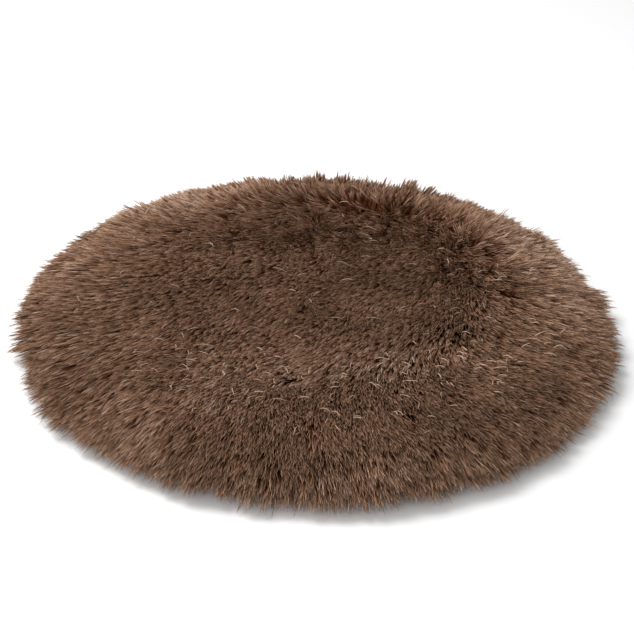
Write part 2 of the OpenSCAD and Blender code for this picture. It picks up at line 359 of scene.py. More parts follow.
def tube_mesh(name, path, radius, tone, along_range=(0.0, 1.0)):
    """One mesh of closed, tapered, three-sided tubes, with the tone and the way along stored as UVs."""
    count = len(path)
    rings = path.shape[1] - 1
    tangent = unit(np.gradient(path, axis=1))
    helper = np.where(np.abs(tangent[:, :1, 2:3]) > 0.9, [[[1.0, 0, 0]]], [[[0, 0, 1.0]]])
    side = unit(np.cross(tangent, helper))
    other = np.cross(tangent, side)
    along = STATIONS
    width = radius[:, None] * (1 - 0.5 * along[:-1] ** 1.5)[None]
    corners = []
    for k in range(SIDES):
        turn = 2 * math.pi * k / SIDES
        ring = side[:, :-1] * math.cos(turn) + other[:, :-1] * math.sin(turn)
        corners.append(path[:, :-1] + ring * width[..., None])
    body = np.stack(corners, axis=2).reshape(count, rings * SIDES, 3)
    verts = np.concatenate([body, path[:, -1:]], axis=1)
    per = rings * SIDES + 1
    quads = [
        [r * SIDES + k, r * SIDES + (k + 1) % SIDES, (r + 1) * SIDES + (k + 1) % SIDES, (r + 1) * SIDES + k]
        for r in range(rings - 1) for k in range(SIDES)
    ]
    last = (rings - 1) * SIDES
    tris = [[last + k, last + (k + 1) % SIDES, per - 1] for k in range(SIDES)] + [[2, 1, 0]]
    start = np.arange(count)[:, None, None] * per
    quad_loops = (np.array(quads)[None] + start).reshape(count, -1)
    tri_loops = (np.array(tris)[None] + start).reshape(count, -1)
    loops = np.concatenate([quad_loops, tri_loops], axis=1).reshape(-1)
    sizes = np.tile([4] * len(quads) + [3] * len(tris), count)
    starts = np.concatenate([[0], np.cumsum(sizes)[:-1]])

    mesh = bpy.data.meshes.new(name)
    mesh.vertices.add(count * per)
    mesh.vertices.foreach_set("co", verts.reshape(-1).astype(np.float32))
    mesh.loops.add(len(loops))
    mesh.loops.foreach_set("vertex_index", loops.astype(np.int32))
    mesh.polygons.add(len(sizes))
    mesh.polygons.foreach_set("loop_start", starts.astype(np.int32))
    mesh.polygons.foreach_set("use_smooth", np.ones(len(sizes), dtype=bool))
    mesh.update(calc_edges=True)

    v = np.concatenate([np.repeat(along[:-1], SIDES), [1.0]])
    v = along_range[0] + (along_range[1] - along_range[0]) * v
    u_side = np.concatenate([np.tile(np.arange(SIDES) / SIDES, rings), [0.5]])
    local = np.concatenate([np.array(quads).reshape(-1), np.array(tris).reshape(-1)])
    uv = np.empty((count, len(local), 2), dtype=np.float32)
    uv[..., 0] = tone[:, None] + (u_side[local][None] - 0.5) * TONE_WIDTH
    uv[..., 1] = v[local][None]
    layer = mesh.uv_layers.new(name="OFBake")
    layer.data.foreach_set("uv", uv.reshape(-1))
    mesh.validate()
    return new_object(name, mesh)


def grow_pile(material):
    rng = np.random.default_rng(SEED)
    x, y = lock_roots(rng)
    guides, normals = lock_guides(x, y, rng)
    fringe = smoothstep(0.88, 0.98, np.hypot(x, y) / BODY_R) * smoothstep(-0.08, -0.16, y)
    loose = np.maximum(unruly(x, y, 0.9), 0.85 * fringe) + 0.3 * blob(x, y, (0.05, -0.06), (0.12, 0.08))
    loose = np.minimum(loose, 1)
    path = strands(guides, normals, loose, rng)
    combed = smoothstep(0.50, 0.80, np.hypot(x, y) / BODY_R) * (1 - front_slope(x, y))
    mottle = 0.12 - 0.03 * front_slope(x, y) + 0.06 * combed + 0.10 * blob(x, y, (-0.13, 0.16), (0.06, 0.05))
    # A lock's tone: random differences, plus the painted light and shade of the patches
    lock_tone = 0.5 + 0.05 * waves(x, y, 0.10, 21) + rng.normal(0, 1, len(x)) * mottle + painted_light_and_shade(x, y)
    fleck = 0.11 + 0.07 * np.repeat(combed, STRANDS_PER_LOCK)
    tone = np.repeat(lock_tone, STRANDS_PER_LOCK) + rng.normal(0, 1, len(path)) * fleck
    tone = np.clip(tone, 0.04, 0.96)
    radius = STRAND_R * rng.uniform(0.8, 1.25, len(path))
    sector = ((np.arctan2(y, x) / (2 * math.pi) % 1) * PIECES).astype(int)
    sector = np.repeat(sector, STRANDS_PER_LOCK)
    for k in range(PIECES):
        mine = sector == k
        piece = tube_mesh(f"pile_{k + 1:02d}", path[mine], radius[mine], tone[mine])
        piece.data.materials.append(material)
        finish_piece(piece, "pile", "fur_pile")


def grow_strays(material):
    """Single pale hairs that lie loose on the pile, most of them in front and on the right."""
    rng = np.random.default_rng(SEED + 1)
    angle = rng.uniform(0, 2 * math.pi, STRAYS * 6)
    radius = BODY_R * 0.98 * np.sqrt(rng.uniform(0, 1, STRAYS * 6))
    x, y = radius * np.cos(angle), radius * np.sin(angle)
    likely = 0.05 + 0.95 * unruly(x, y) * smoothstep(0.06, -0.06, y)
    kept = np.nonzero(rng.uniform(0, 1, STRAYS * 6) < likely)[0][:STRAYS]
    x, y = x[kept], y[kept]
    count = len(x)
    level = pile_lean(x, y)[0]
    turn = rng.normal(0, 0.8, count)
    heading = np.arctan2(level[:, 1], level[:, 0]) + turn
    start = np.stack([x, y, body_height(x, y) + 0.022 + rng.uniform(0, 0.007, count)], axis=1)
    bend = rng.normal(0, 0.16, count)
    length = rng.uniform(0.006, 0.016, count)
    points = [start]
    for k, share in enumerate(np.diff(STATIONS)):
        way = heading + bend * k
        slope = 0.5 - 0.3 * k
        step = unit(np.stack([np.cos(way), np.sin(way), np.full(count, slope)], axis=1))
        points.append(points[-1] + step * (length * share)[:, None])
    piece = tube_mesh("stray_hairs", np.stack(points, axis=1), np.full(count, STRAY_R),
                      rng.uniform(*STRAY_TONE, count), STRAY_ALONG)
    piece.data.materials.append(material)
    finish_piece(piece, "pile")


# ---------------------------------------------------------------- mesh helpers

def link_mesh(name, verts, faces, material):
    mesh = bpy.data.meshes.new(name)
    mesh.from_pydata([tuple(v) for v in verts], [], faces)
    mesh.polygons.foreach_set("use_smooth", [True] * len(mesh.polygons))
    mesh.materials.append(material)
    mesh.update()
    return new_object(name, mesh)


def finish_piece(obj, slot, *nodes):
    """Ride the cushion and stand for the CAD nodes; slot is not used."""
    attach(obj, "cushion")
    if nodes:
        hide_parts(*nodes)


def grid_faces(rows, cols, start, wrap, flip=False):
    faces = []
    for i in range(rows - 1):
        for j in range(cols if wrap else cols - 1):
            k = (j + 1) % cols
            this, after = start + i * cols, start + (i + 1) * cols
            quad = [this + j, this + k, after + k, after + j]
            faces.append(quad[::-1] if flip else quad)
    return faces


def ring_face(start, cols, flip=False):
    """One face across a ring of points."""
    ring = list(range(start, start + cols))
    return ring[::-1] if flip else ring


def band_faces(a, b, cols):
    """Faces between two rings of points."""
    return [[a + j, a + (j + 1) % cols, b + (j + 1) % cols, b + j] for j in range(cols)]


def neighbour_steps(points, axis, wrap):
    """Steps between the neighbours of each point, joined up at the ends if they wrap."""
    if wrap:
        return np.roll(points, -1, axis=axis) - np.roll(points, 1, axis=axis)
    return np.gradient(points, axis=axis)


def cloth_slab(name, middle, thickness, material, wrap=False):
    """A closed piece of cloth round a grid of points: two faces, and edges on every open side.

    A grid that wraps is a disc, so its first row is closed by two small end faces instead.
    """
    rows, cols = middle.shape[:2]
    normals = unit(np.cross(neighbour_steps(middle, 1, wrap), np.gradient(middle, axis=0)))
    offset = normals * (thickness / 2)
    verts = np.concatenate([(middle + offset).reshape(-1, 3), (middle - offset).reshape(-1, 3)])
    size = rows * cols
    faces = grid_faces(rows, cols, 0, wrap) + grid_faces(rows, cols, size, wrap, flip=True)
    if wrap:
        faces += [ring_face(0, cols, flip=True), ring_face(size, cols)]
    index = np.arange(size).reshape(rows, cols)
    if wrap:
        borders = [(np.append(index[-1], index[-1, 0]), True)]
    else:
        borders = [(index[0], False), (index[-1], True), (index[:, 0], True), (index[:, -1], False)]
    for border, turned in borders:
        for a, b in zip(border[:-1].tolist(), border[1:].tolist()):
            edge = [b, a, a + size, b + size]
            faces.append(edge[::-1] if turned else edge)
    return link_mesh(name, verts, faces, material)


def thread_mesh(name, paths, radius, material, helper, sides=6, closed=False):
    """Round threads along paths of points, as one mesh of closed tubes; a closed path is a ring."""
    verts, faces = [], []
    for path in paths:
        path = np.asarray(path)
        count = len(path)
        tangent = unit(neighbour_steps(path, 0, closed))
        side = unit(np.cross(tangent, helper))
        other = np.cross(tangent, side)
        turn = 2 * math.pi * np.arange(sides) / sides
        ring = side[:, None] * np.cos(turn)[None, :, None] + other[:, None] * np.sin(turn)[None, :, None]
        start = len(verts)
        verts.extend((path[:, None] + radius * ring).reshape(-1, 3))
        faces += grid_faces(count, sides, start, wrap=True)
        last = start + (count - 1) * sides
        if closed:
            faces += band_faces(last, start, sides)
        else:
            faces += [ring_face(start, sides, flip=True), ring_face(last, sides)]
    return link_mesh(name, verts, faces, material)


def polar_grid(radii, cols):
    angle = 2 * math.pi * np.arange(cols) / cols
    return np.outer(radii, np.cos(angle)), np.outer(radii, np.sin(angle))


# ---------------------------------------------------------------- cover: backing, base, seam, label

def make_backing(material):
    """The knitted cloth that the pile grows from, stretched over the pad and gathered at its edge."""
    radii = BODY_R * np.sin(np.linspace(0.004, math.pi / 2, 70))
    x, y = polar_grid(radii, BACKING_COLS)
    z = body_height(x.reshape(-1), y.reshape(-1)).reshape(x.shape)
    q = radii[:, None] / BODY_R
    angle = 2 * math.pi * np.arange(BACKING_COLS) / BACKING_COLS
    gathers = 0.0007 * np.sin(90 * angle)[None] * smoothstep(0.80, 0.97, q) * smoothstep(1.0, 0.97, q)
    middle = np.stack([x, y, z - BACKING_T / 2 - np.abs(gathers)], axis=2)
    middle[..., :2] *= (1 - BACKING_T / 2 / BODY_R * smoothstep(0.7, 1.0, q))[..., None]
    obj = cloth_slab("cover_backing", middle, BACKING_T, material, wrap=True)
    finish_piece(obj, "backing", "fur_backing")


def pit_depth_in(x, y):
    """Distance inside the outline of the zip's pit, negative outside it."""
    return np.minimum(PIT_HALF_L + PIT_SLOPE - np.abs(x), PIT_OUT + PIT_SLOPE - np.abs(y - ZIP_Y))


def base_level(x, y):
    """Height of the base cloth's underside: flat, rolled up at the edge, pressed up in a pit at the zip."""
    r = np.hypot(x, y)
    rise = 1 - (BODY_R - r) / EDGE_ROLL
    roll = (SEAM_Z - BASE_LOW) * (1 - np.sqrt(1 - np.clip(rise, 0, 1) ** 2))
    inside = pit_depth_in(x, y)
    pit = (LEDGE_Z - BASE_LOW) * smoothstep(0, PIT_SLOPE, inside)
    return BASE_LOW + np.maximum(roll, pit)


def base_wrinkles(x, y):
    """Upward ripples: broad ones over the flat part, and puckers where the edge seam gathers the cloth."""
    q = np.hypot(x, y) / BODY_R
    flat = smoothstep(0.86, 0.80, q) * smoothstep(0.022, 0.032, np.abs(y - ZIP_Y))
    broad = 0.0006 * np.clip(waves(x, y, 0.07, 31), 0, 1.5) * flat
    angle = np.arctan2(y, x)
    pucker = 0.0007 * (1 + np.sin(110 * angle + 2 * waves(x, y, 0.08, 32)))
    return broad + pucker * smoothstep(0.88, 0.96, q) * smoothstep(1.0, 0.985, q)


def make_base_panel(name, side, material, node):
    """One half of the base, its edge at the zip turned in; side is -1 in front of the zip and 1 behind it."""
    widest = 0.9995 * BODY_R
    chord = math.sqrt(BODY_R ** 2 - (ZIP_Y + PANEL_GAP) ** 2) - 0.0002
    reach = widest if side < 0 else chord
    x = reach * np.sin(np.linspace(-math.pi / 2, math.pi / 2, 240))
    step = SLOT_HALF_L + 0.0002
    x = np.sort(np.concatenate([x, [-step, -SLOT_HALF_L, SLOT_HALF_L, step]]))
    gap = np.where(np.abs(x) <= SLOT_HALF_L, SLOT_W / 2, PANEL_GAP)
    rim = np.sqrt(np.maximum(BODY_R ** 2 - x ** 2, 0))
    inner = np.minimum(ZIP_Y - gap, rim) if side < 0 else ZIP_Y + gap
    outer = -rim if side < 0 else rim
    length = np.abs(outer - inner)
    scale = np.minimum(1, length / 0.06)
    far = np.linspace(0, 1, 52)[1:]
    # Rows beside the zip: the first ones follow the slot's corners, the rest run straight past them
    near = 0.001 * np.array([5.1, 5.6, 6.6, 8, 9.5, 11, 12.5, 14, 15.5, 17, 18.5, 20, 21.5, 23])[:, None]
    straight = np.array([0.1, 0.4, 0.8] + [1.0] * 11)[:, None]
    first = (near - gap[None]) * straight * scale[None]
    rest = first[-1][None] + (length - first[-1])[None] * far[:, None]
    d = np.concatenate([first, rest])
    xs = np.broadcast_to(x, d.shape)
    y = inner[None] + side * d
    z = base_level(xs, y) + base_wrinkles(xs, y) + BASE_T / 2
    flat = np.stack([xs, y, z], axis=2)
    # The turned-in edge: round the fold, then back over the cloth
    edge_z = flat[0, :, 2]
    turned = []
    fold = [(FOLD_W, 1.04), (0.002, 1.04), (0.0005, 1.04), (0.00015, 0.89), (0.0, 0.52), (0.00015, 0.15)]
    for back, up in fold:
        turned.append(np.stack([x, inner + side * back * scale, edge_z + up * BASE_T], axis=1))
    middle = np.concatenate([np.stack(turned), flat])
    if side < 0:
        middle = middle[:, ::-1]
    obj = cloth_slab(name, middle, BASE_T * 0.9, material)
    finish_piece(obj, "base_cloth", node)


def make_edge_thread(name, ply_r, material, slot, node):
    """Two plies twisted round each other, along an edge seam."""
    low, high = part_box(node)
    radius, z = high[0] - 0.0005, (low[2] + high[2]) / 2
    turns = round(2 * math.pi * radius / THREAD_TWIST)
    count = turns * 6
    around = 2 * math.pi * np.arange(count) / count
    plies = []
    for phase in (0, math.pi):
        twist = turns * around + phase
        r = radius + ply_r * 0.8 * np.cos(twist)
        height = z + ply_r * 0.8 * np.sin(twist)
        plies.append(np.stack([r * np.cos(around), r * np.sin(around), height], axis=1))
    obj = thread_mesh(name, plies, ply_r, material, (0, 0, 1), sides=5, closed=True)
    finish_piece(obj, slot, node)


def make_care_label(material):
    """A blank satin ribbon that hangs from the edge seam, its free end curling away from the base."""
    low, high = node_corners("care_label")
    centre = math.atan2((low[1] + high[1]) / 2, (low[0] + high[0]) / 2)
    half = LABEL_W / 2 / BODY_R
    across = np.linspace(-half, half, 25)
    down = np.linspace(0, 1, 22)
    a = LABEL_TURN[0] + (LABEL_TURN[1] - LABEL_TURN[0]) * down
    r = BODY_R + 0.0006 - EDGE_ROLL * (1 - np.sin(a))
    z = SEAM_Z - (SEAM_Z - 0.0004) * np.cos(a) - 0.0002
    curl = LABEL_CURL * down ** 3
    points = []
    for t in across:
        wave = 0.0005 * math.sin(3 * t / half + 0.6) * down ** 2
        radial = r + curl + np.abs(wave)
        angle = centre + t
        points.append(np.stack([radial * math.cos(angle), radial * math.sin(angle), z - 0.5 * curl], axis=1))
    middle = np.stack(points, axis=1)
    obj = cloth_slab("care_label_ribbon", middle, LABEL_T, material)
    finish_piece(obj, "label", "care_label")


def make_grip_dots(material):
    """Printed dots with rounded edges, sunk a little into the cloth; the same layout as in the CAD model."""
    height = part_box("grip_dots")[1][2] + 0.0006
    radius = DOT_D / 2
    profile = [(radius * 0.55, 0.0), (radius * 0.86, 0.00005), (radius * 0.97, 0.00025), (radius, 0.0005),
               (radius * 0.995, height)]
    sides = 28
    turn = 2 * math.pi * np.arange(sides) / sides
    verts, faces = [], []
    rng = np.random.default_rng(SEED + 2)
    row_gap = DOT_PITCH * math.sin(math.pi / 3)
    rows = int(BODY_R / row_gap)
    for row in range(-rows, rows + 1):
        for col in range(-rows - 1, rows + 2):
            x = (col + (0 if row % 2 == 0 else 0.5)) * DOT_PITCH
            y = row * row_gap
            if math.hypot(x, y) >= DOT_REACH or abs(y - ZIP_Y) <= DOT_CLEAR:
                continue
            start = len(verts)
            grow = 1 + rng.uniform(-0.03, 0.03)
            for r, z in profile:
                verts += [(x + grow * r * math.cos(t), y + grow * r * math.sin(t), z) for t in turn]
            faces += grid_faces(len(profile), sides, start, wrap=True)
            last = start + (len(profile) - 1) * sides
            faces += [ring_face(start, sides, flip=True), ring_face(last, sides)]
    obj = link_mesh("grip_dots_domed", verts, faces, material)
    finish_piece(obj, "grip", "grip_dots")


# ---------------------------------------------------------------- zip

def make_zip_tape(name, side, material, node):
    """Woven tape, a little wavy along its free edge."""
    low, high = node_corners(node)
    x = np.linspace(low[0], high[0], 190)
    width = high[1] - low[1]
    across = np.array([0.0, 0.02, 0.06, 0.12, 0.17, 0.24, 0.36, 0.52, 0.68, 0.84, 0.96, 1.0])
    inner = low[1] if side > 0 else high[1]
    xs, t = np.meshgrid(x, across)
    ys = inner + side * width * t
    wave = 0.00012 * np.sin(xs * 2 * math.pi / 0.031) * t
    level = np.stack([xs, ys, (low[2] + high[2]) / 2 + wave], axis=2)
    if side > 0:
        level = level[:, ::-1]
    obj = cloth_slab(name, level, (high[2] - low[2]) * 0.8, material)
    finish_piece(obj, "zip_tape", node)


def make_zip_coil(name, material, node, phase):
    """A nylon monofilament wound as a flat-sided helix round a cord."""
    low, high = node_corners(node)
    middle = (low + high) / 2
    reach = (high - low) / 2 - COIL_WIRE_R
    length = high[0] - low[0]
    turns = round(length / COIL_PITCH)
    count = turns * COIL_STEPS + 1
    t = 2 * math.pi * turns * np.arange(count) / (count - 1) + phase
    # A squarish loop, as the teeth of a coil are pressed flat
    loop_y = np.sign(np.cos(t)) * np.abs(np.cos(t)) ** 0.75
    loop_z = np.sign(np.sin(t)) * np.abs(np.sin(t)) ** 0.75
    x = low[0] + COIL_WIRE_R + (length - 2 * COIL_WIRE_R) * np.arange(count) / (count - 1)
    path = np.stack([x, middle[1] + reach[1] * loop_y, middle[2] + reach[2] * loop_z], axis=1)
    obj = thread_mesh(name, [path], COIL_WIRE_R, material, (1, 0, 0), sides=6)
    finish_piece(obj, "zip_coil", node)
    core_x = np.linspace(low[0] + 0.0005, high[0] - 0.0005, 120)
    core = np.stack([core_x, np.full(120, middle[1]), np.full(120, middle[2])], axis=1)
    cord = thread_mesh(name + "_cord", [core], COIL_CORE_R, material, (0, 0, 1), sides=8)
    finish_piece(cord, "zip_tape")


def make_stop(name, boxes, material, node):
    """Metal stops, pressed round the coils, with rounded edges."""
    mesh = bmesh.new()
    for low, high in boxes:
        made = bmesh.ops.create_cube(mesh, size=1)
        for v in made["verts"]:
            for k in range(3):
                v.co[k] = (low[k] + high[k]) / 2 + v.co[k] * (high[k] - low[k])
    bmesh.ops.bevel(mesh, geom=list(mesh.edges), offset=0.0004, segments=3, profile=0.5, affect="EDGES")
    data = bpy.data.meshes.new(name)
    mesh.to_mesh(data)
    mesh.free()
    data.polygons.foreach_set("use_smooth", [True] * len(data.polygons))
    data.materials.append(material)
    finish_piece(new_object(name, data), "zip_metal", node)


def make_top_stops(material):
    low, high = node_corners("zip_top_stops")
    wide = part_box("zip_coil_rear")[1][1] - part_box("zip_coil_rear")[0][1]
    front = (low, np.array([high[0], low[1] + wide, high[2]]))
    rear = (np.array([low[0], high[1] - wide, low[2]]), high)
    make_stop("zip_top_stop_pair", [front, rear], material, "zip_top_stops")


def make_stitching(material):
    """Lockstitches along both sides of the slot, each dipping into the cloth at its ends."""
    low, high = node_corners("zip_stitching")
    radius = (high[2] - low[2]) / 2
    level = low[2] + radius
    count = int((high[0] - low[0]) / STITCH_PITCH)
    rng = np.random.default_rng(SEED + 3)
    half = [(0.2, 0.0), (0.40, 0.00012), (0.44, 0.00045)]
    shape = [(-s, up) for s, up in reversed(half)] + half
    paths = []
    for y in (low[1] + radius, high[1] - radius):
        for k in range(count):
            x = (low[0] + high[0]) / 2 + STITCH_PITCH * (k + 0.5 - count / 2)
            skew = rng.normal(0, 0.00006, 2)
            path = [(x + STITCH_PITCH * s, y + skew[0] + skew[1] * s, level + up) for s, up in shape]
            paths.append(path)
    obj = thread_mesh("zip_lockstitches", paths, radius, material, (0, 1, 0))
    finish_piece(obj, "dark_thread", "zip_stitching")


def make_bar_tacks(material):
    """Dense zigzag over three long threads, at each end of the slot."""
    low, high = node_corners("bar_tacks")
    width = high[0] - (SLOT_HALF_L + 0.002)
    radius = 0.00013
    paths = []
    for side in (-1, 1):
        middle = side * (high[0] - width / 2)
        for offset in (-0.3, 0.0, 0.3):
            x = middle + offset * width
            ends = np.linspace(low[1] + 0.0003, high[1] - 0.0003, 8)
            paths.append([(x, y, high[2] - 2 * radius) for y in ends])
        count = 44
        zigzag = []
        for k in range(count):
            y = low[1] + radius + (high[1] - low[1] - 2 * radius) * k / (count - 1)
            x = middle + (width / 2 - radius) * (1 if k % 2 else -1)
            zigzag += [(x, y - 0.00005, high[2] - 0.0001), (x * 0.999, y, high[2] - 4 * radius)]
        paths.append(zigzag)
    obj = thread_mesh("slot_bar_tacks", paths, radius, material, (0, 0, 1), sides=5)
    finish_piece(obj, "dark_thread", "bar_tacks")


# ---------------------------------------------------------------- inner pad

def channel_level(x, y, low, high, margin):
    """Floor of the pad: low, but high over the pit and the zip."""
    return low + (high - low) * smoothstep(-0.004, 0.002, pit_depth_in(x, y) + margin)


def pillow_mesh(name, material, radius, top_gap, low, channel_top, margin, cols, lumps):
    """A closed pillow inside the cover: crowned on top, flat below, with the zip's channel pressed in."""
    turn = np.linspace(0.01, math.pi / 2, 44)
    radii = radius * np.sin(turn)
    x, y = polar_grid(radii, cols)
    shape = x.shape
    scale = BODY_R / radius
    top = body_height((x * scale).reshape(-1), (y * scale).reshape(-1)).reshape(shape) - top_gap
    top = np.maximum(top, SEAM_Z)
    rise = np.clip(1 - (radius - np.hypot(x, y)) / EDGE_ROLL, 0, 1)
    roll = low + (SEAM_Z - low) * (1 - np.sqrt(1 - rise ** 2))
    bottom = np.maximum(roll, channel_level(x, y, low, channel_top, margin))
    bottom = np.minimum(bottom, top)
    bumps = lumps * waves(x, y, 0.035, 41) + 0.5 * lumps * waves(x, y, 0.014, 42)
    inner = smoothstep(1.0, 0.9, np.hypot(x, y) / radius)
    top = top + (bumps - 1.5 * lumps) * inner
    verts = np.concatenate([np.stack([x, y, top], axis=2).reshape(-1, 3),
                            np.stack([x, y, bottom], axis=2)[:-1].reshape(-1, 3)])
    rows = len(radii)
    lower = rows * cols
    faces = grid_faces(rows, cols, 0, wrap=True, flip=True) + grid_faces(rows - 1, cols, lower, wrap=True)
    faces += band_faces(lower + (rows - 2) * cols, (rows - 1) * cols, cols)
    faces += [ring_face(0, cols), ring_face(lower, cols, flip=True)]
    return link_mesh(name, verts, faces, material)


def apply_modifier(obj, kind, **settings):
    modifier = obj.modifiers.new(kind.lower(), kind)
    set_all(modifier, settings)
    bpy.context.view_layer.objects.active = obj
    bpy.ops.object.modifier_apply(modifier=modifier.name)


def swell(obj, voxel, most, frames=20):
    """Inflate a closed mesh as cloth under pressure, and cap how far each point moves."""
    scene = bpy.context.scene
    apply_modifier(obj, "REMESH", mode="VOXEL", voxel_size=voxel)
    before = read_points(obj)
    cloth = obj.modifiers.new("cloth", "CLOTH")
    set_all(cloth.settings, {"use_pressure": True, "uniform_pressure_force": 4, "tension_stiffness": 25,
                             "compression_stiffness": 4, "bending_stiffness": 0.3})
    cloth.settings.effector_weights.gravity = 0
    cloth.collision_settings.use_self_collision = False
    cloth.point_cache.frame_start = 1
    cloth.point_cache.frame_end = frames
    for frame_number in range(1, frames + 1):
        scene.frame_set(frame_number)
    bpy.ops.object.modifier_apply(modifier=cloth.name)
    scene.frame_set(1)
    moved = read_points(obj) - before
    far = np.linalg.norm(moved, axis=1, keepdims=True)
    write_points(obj, before + moved * np.minimum(1, most / np.maximum(far, 1e-9)))
    apply_modifier(obj, "SUBSURF", levels=1)


def read_points(obj):
    points = np.empty(len(obj.data.vertices) * 3)
    obj.data.vertices.foreach_get("co", points)
    return points.reshape(-1, 3)


def write_points(obj, points):
    obj.data.vertices.foreach_set("co", points.reshape(-1))
    obj.data.update()


def make_pad(material):
    """The inner pad: a non-woven case, swollen by its filling, puckered along its edge seam."""
    obj = pillow_mesh("inner_pad", material, radius=BODY_R - 0.0065, top_gap=0.0050, low=PAD_LOW + 0.002,
                      channel_top=CHANNEL_TOP + 0.002, margin=0.005, cols=160, lumps=0.0)
    swell(obj, voxel=0.006, most=0.006)
    x, y, z = read_points(obj).T
    # Draw the swollen edge out to the seam again, and pinch it there
    r = np.hypot(x, y)
    grow = 1 + (PAD_R / r.max() - 1) * smoothstep(0.5, 1.0, r / r.max())
    x, y = x * grow, y * grow
    q = np.hypot(x, y) / PAD_R
    z = SEAM_Z + (z - SEAM_Z) * np.sqrt(np.clip(1 - q ** 14, 0.001, 1))
    write_points(obj, np.stack([x, y, z], axis=1))
    apply_modifier(obj, "SMOOTH", factor=0.5, iterations=12)
    x, y, z = read_points(obj).T
    angle = np.arctan2(y, x)
    near_seam = smoothstep(0.80, 0.96, q) * np.exp(-((z - SEAM_Z) / 0.02) ** 2)
    pucker = 0.0018 * (0.5 + 0.5 * np.sin(74 * angle + 1.5 * waves(x, y, 0.10, 43))) * near_seam
    z = z + np.where(z > SEAM_Z, -pucker, pucker)
    ceiling = body_height(x, y) - BACKING_T - 0.0016
    floor_z = np.maximum(base_level(x, y) + 2.4 * BASE_T, channel_level(x, y, PAD_LOW, CHANNEL_TOP, 0.003))
    z = np.clip(z, np.minimum(floor_z, ceiling - 0.001), ceiling)
    write_points(obj, np.stack([x, y, z], axis=1))
    finish_piece(obj, "liner", "liner_top", "liner_bottom")


def make_fill(material):
    """The loose fibre inside the pad, a lumpy mass with the pad's channel pressed into it."""
    obj = pillow_mesh("fibre_filling", material, radius=BODY_R - 0.014, top_gap=0.0105, low=PAD_LOW + 0.006,
                      channel_top=CHANNEL_TOP + 0.006, margin=0.010, cols=200, lumps=0.0012)
    finish_piece(obj, "fibre", "fibre_fill")


# ---------------------------------------------------------------- materials

def new_material(name):
    material = bpy.data.materials.new(name)
    material.use_nodes = True
    return material, material.node_tree, material.node_tree.nodes["Principled BSDF"]


def add_node(tree, kind, values=None, **settings):
    """A shader node with its settings made, and each input set to a value or linked to an output."""
    node = tree.nodes.new("ShaderNode" + kind)
    set_all(node, settings)
    for socket, value in (values or {}).items():
        if isinstance(value, bpy.types.NodeSocket):
            tree.links.new(value, node.inputs[socket])
        else:
            node.inputs[socket].default_value = value
    return node


def math_node(tree, operation, a, b):
    return add_node(tree, "Math", {0: a, 1: b}, operation=operation).outputs[0]


def ramp_node(tree, value, stops):
    """Colours at places along a value; a new ramp already has its first and last stop."""
    node = add_node(tree, "ValToRGB", {0: value})
    elements = node.color_ramp.elements
    for element, (place, colour) in ((elements[0], stops[0]), (elements[1], stops[-1])):
        element.position = place
        element.color = (*colour, 1)
    for place, colour in stops[1:-1]:
        elements.new(place).color = (*colour, 1)
    return node.outputs["Color"]


def fur_material():
    """Darker at the root, partly as painted shade, paler at the tip, with a painted grey sheen near the tips
    of paler strands; tone and way along come as UVs.
    """
    material, tree, shader = new_material("pile")
    uv = add_node(tree, "UVMap", uv_map="OFBake")
    split = add_node(tree, "SeparateXYZ", {0: uv.outputs["UV"]})
    tone, along = split.outputs["X"], split.outputs["Y"]
    # Root to tip: the fur's own colour, with the dark roots partly painted shade between the locks
    strand = ramp_node(tree, along, [(0.0, FUR_ROOT), (FUR_MIDDLE_AT, FUR_MIDDLE), (1.0, FUR_TIP)])
    # Painted sheen: the outer part of paler strands turns pale grey, a highlight painted into the colour
    painted_sheen_amount = add_node(tree, "MapRange", {"Value": tone, "From Min": 0.55, "To Max": 0.8})
    outer = math_node(tree, "POWER", along, 2.5)
    share = math_node(tree, "MULTIPLY", painted_sheen_amount.outputs["Result"], outer)
    mix = {"Factor": share, "A": strand, "B": (*FUR_PAINTED_SHEEN, 1)}
    with_painted_sheen = add_node(tree, "Mix", mix, data_type="RGBA")
    shade = add_node(tree, "MapRange", {"Value": tone, "To Min": FUR_SHADES[0], "To Max": FUR_SHADES[1]})
    scaled = {0: with_painted_sheen.outputs["Result"], "Scale": shade.outputs["Result"]}
    colour = add_node(tree, "VectorMath", scaled, operation="SCALE")
    tree.links.new(colour.outputs[0], shader.inputs["Base Color"])
    shader.inputs["Roughness"].default_value = 0.55
    shader.inputs["Specular IOR Level"].default_value = 0.0
    return material


def wave_node(tree, place, direction, pitch, distortion=0.0):
    """Bands one pitch apart along an axis, as a value from 0 to 1."""
    scale = (0.444 if direction == "DIAGONAL" else 0.314) / pitch
    values = {"Vector": place, "Scale": scale, "Distortion": distortion, "Detail": 1.0}
    node = add_node(tree, "TexWave", values, wave_type="BANDS", bands_direction=direction)
    return node.outputs["Fac"]


def noise_node(tree, place, size, detail=3.0):
    return add_node(tree, "TexNoise", {"Vector": place, "Scale": 1 / size, "Detail": detail}).outputs["Fac"]


def pattern(tree, place, kind, pitch):
    """Relief of a cloth's surface, from 0 to 1."""
    if kind == "twill":
        picks = wave_node(tree, place, "X", pitch * 0.55)
        return math_node(tree, "MULTIPLY", wave_node(tree, place, "DIAGONAL", pitch),
                         math_node(tree, "MAXIMUM", picks, 0.35))
    if kind == "plain":
        return math_node(tree, "MULTIPLY", wave_node(tree, place, "X", pitch),
                         wave_node(tree, place, "Y", pitch))
    if kind == "knit":
        courses = wave_node(tree, place, "Y", pitch * 0.7, 1.5)
        return math_node(tree, "MAXIMUM", wave_node(tree, place, "X", pitch, 1.5),
                         math_node(tree, "MULTIPLY", courses, 0.8))
    if kind == "thread":
        return wave_node(tree, place, "DIAGONAL", pitch, 0.5)
    if kind == "dimpled":
        return add_node(tree, "TexVoronoi", {"Vector": place, "Scale": 1 / pitch}).outputs["Distance"]
    return noise_node(tree, place, pitch, 6.0)


